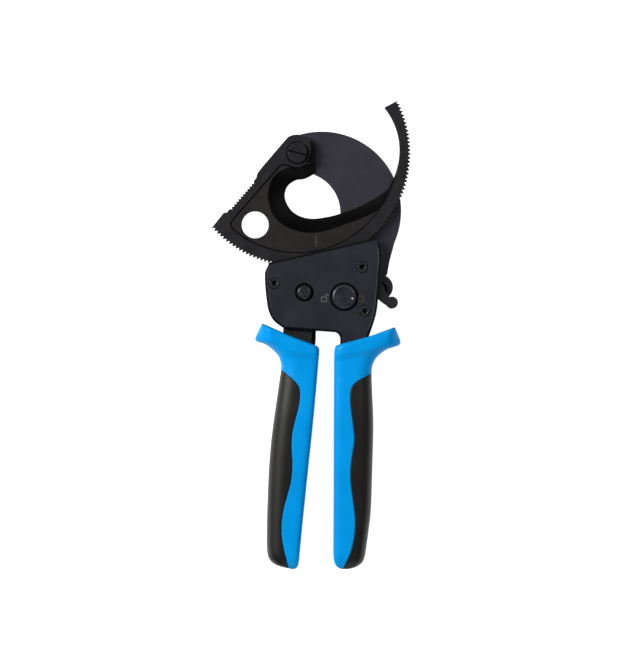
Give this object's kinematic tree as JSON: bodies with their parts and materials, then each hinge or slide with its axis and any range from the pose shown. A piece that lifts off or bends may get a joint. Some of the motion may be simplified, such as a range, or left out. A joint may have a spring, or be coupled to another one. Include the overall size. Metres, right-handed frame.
{
  "type": "ratcheting cable cutter",
  "caption": "Ratcheting cable cutter with a toothed swinging blade, a hooked fixed blade, a lock knob, a thumb release and two-tone grips.",
  "frame": {"origin": "on the axis of the blade pivot, in the plane that the tool lies on, which is the end face of the pivot bolt", "axes": "+X to the side of the fixed handle, +Y from the handles to the head, +Z out of the front cover"},
  "size_m": [0.1143, 0.2685, 0.022],
  "materials": {
    "blade_steel": "black oxide, satin",
    "fixed_steel": "blue-black oxide, satin",
    "cover_steel": "blue-black coating, satin",
    "black_fastener": "black oxide, satin",
    "link_steel": "hardened, dark, satin",
    "lever_steel": "black oxide, satin",
    "bright_steel": "ground",
    "spring_steel": "drawn wire",
    "bush_bronze": "sintered bronze",
    "hard_grip": "moulded, slight gloss",
    "soft_grip": "moulded, soft touch, matt"
  },
  "bodies": {
    "fixed_half": {"fixed_blade": "fixed_steel", "front_cover": "cover_steel", "tang_spacer": "link_steel", "cover_screw_left": "black_fastener", "cover_screw_top_right": "black_fastener", "cover_screw_bottom_right": "black_fastener", "spacer_left": "link_steel", "spacer_top_right": "link_steel", "spacer_bottom_right": "link_steel", "tang_rivet_1": "bright_steel", "tang_rivet_2": "bright_steel", "pivot_bolt": "black_fastener", "pivot_nut": "black_fastener", "pivot_bush": "bush_bronze", "handle_pivot_pin": "black_fastener", "handle_pivot_clip": "bright_steel", "hold_pawl_pin": "bright_steel", "hold_pawl_spring": "spring_steel", "lock_friction_washer": "spring_steel", "right_grip_core": "hard_grip", "right_grip_sleeve": "soft_grip"},
    "blade": {"moving_blade": "blade_steel"},
    "moving_handle": {"handle_shank": "link_steel", "drive_pawl_pin": "bright_steel", "handle_return_spring": "spring_steel", "left_grip_core": "hard_grip", "left_grip_sleeve": "soft_grip"},
    "advance_pawl": {"drive_pawl": "bright_steel", "drive_pawl_spring": "spring_steel"},
    "lock": {"lock_knob": "black_fastener", "lock_cam": "bright_steel"},
    "release": {"hold_pawl": "lever_steel"}
  },
  "joints": [
    {"name": "blade_swing", "type": "hinge", "parent": "fixed_half", "child": "blade", "pos_m": [0, 0, 0.01225], "axis": [0, 0, 1], "range_deg": [-230, 62]},
    {"name": "handle_swing", "type": "hinge", "parent": "fixed_half", "child": "moving_handle", "pos_m": [0.0041, -0.08, 0.0122], "axis": [0, 0, 1], "range_deg": [-38, 0], "deforming": ["handle_return_spring"]},
    {"name": "advance_pawl_swing", "type": "hinge", "parent": "moving_handle", "child": "advance_pawl", "pos_m": [0.01424, -0.08272, 0.0134], "axis": [0, 0, 1], "range_deg": [0, 52], "deforming": ["drive_pawl_spring"]},
    {"name": "lock_turn", "type": "hinge", "parent": "fixed_half", "child": "lock", "pos_m": [0.0269, -0.0825, 0.015], "axis": [0, 0, 1], "range_deg": [0, 180]},
    {"name": "release_press", "type": "hinge", "parent": "fixed_half", "child": "release", "pos_m": [0.0435, -0.0735, 0.0122], "axis": [0, 0, 1], "range_deg": [-10, 0], "stiffness_Nm_per_rad": 0.3, "springref_deg": 11.46, "deforming": ["hold_pawl_spring"]}
  ],
  "couplings": [
    {"joint": "advance_pawl_swing", "follows": "handle_swing", "ratio": -1.36}
  ]
}
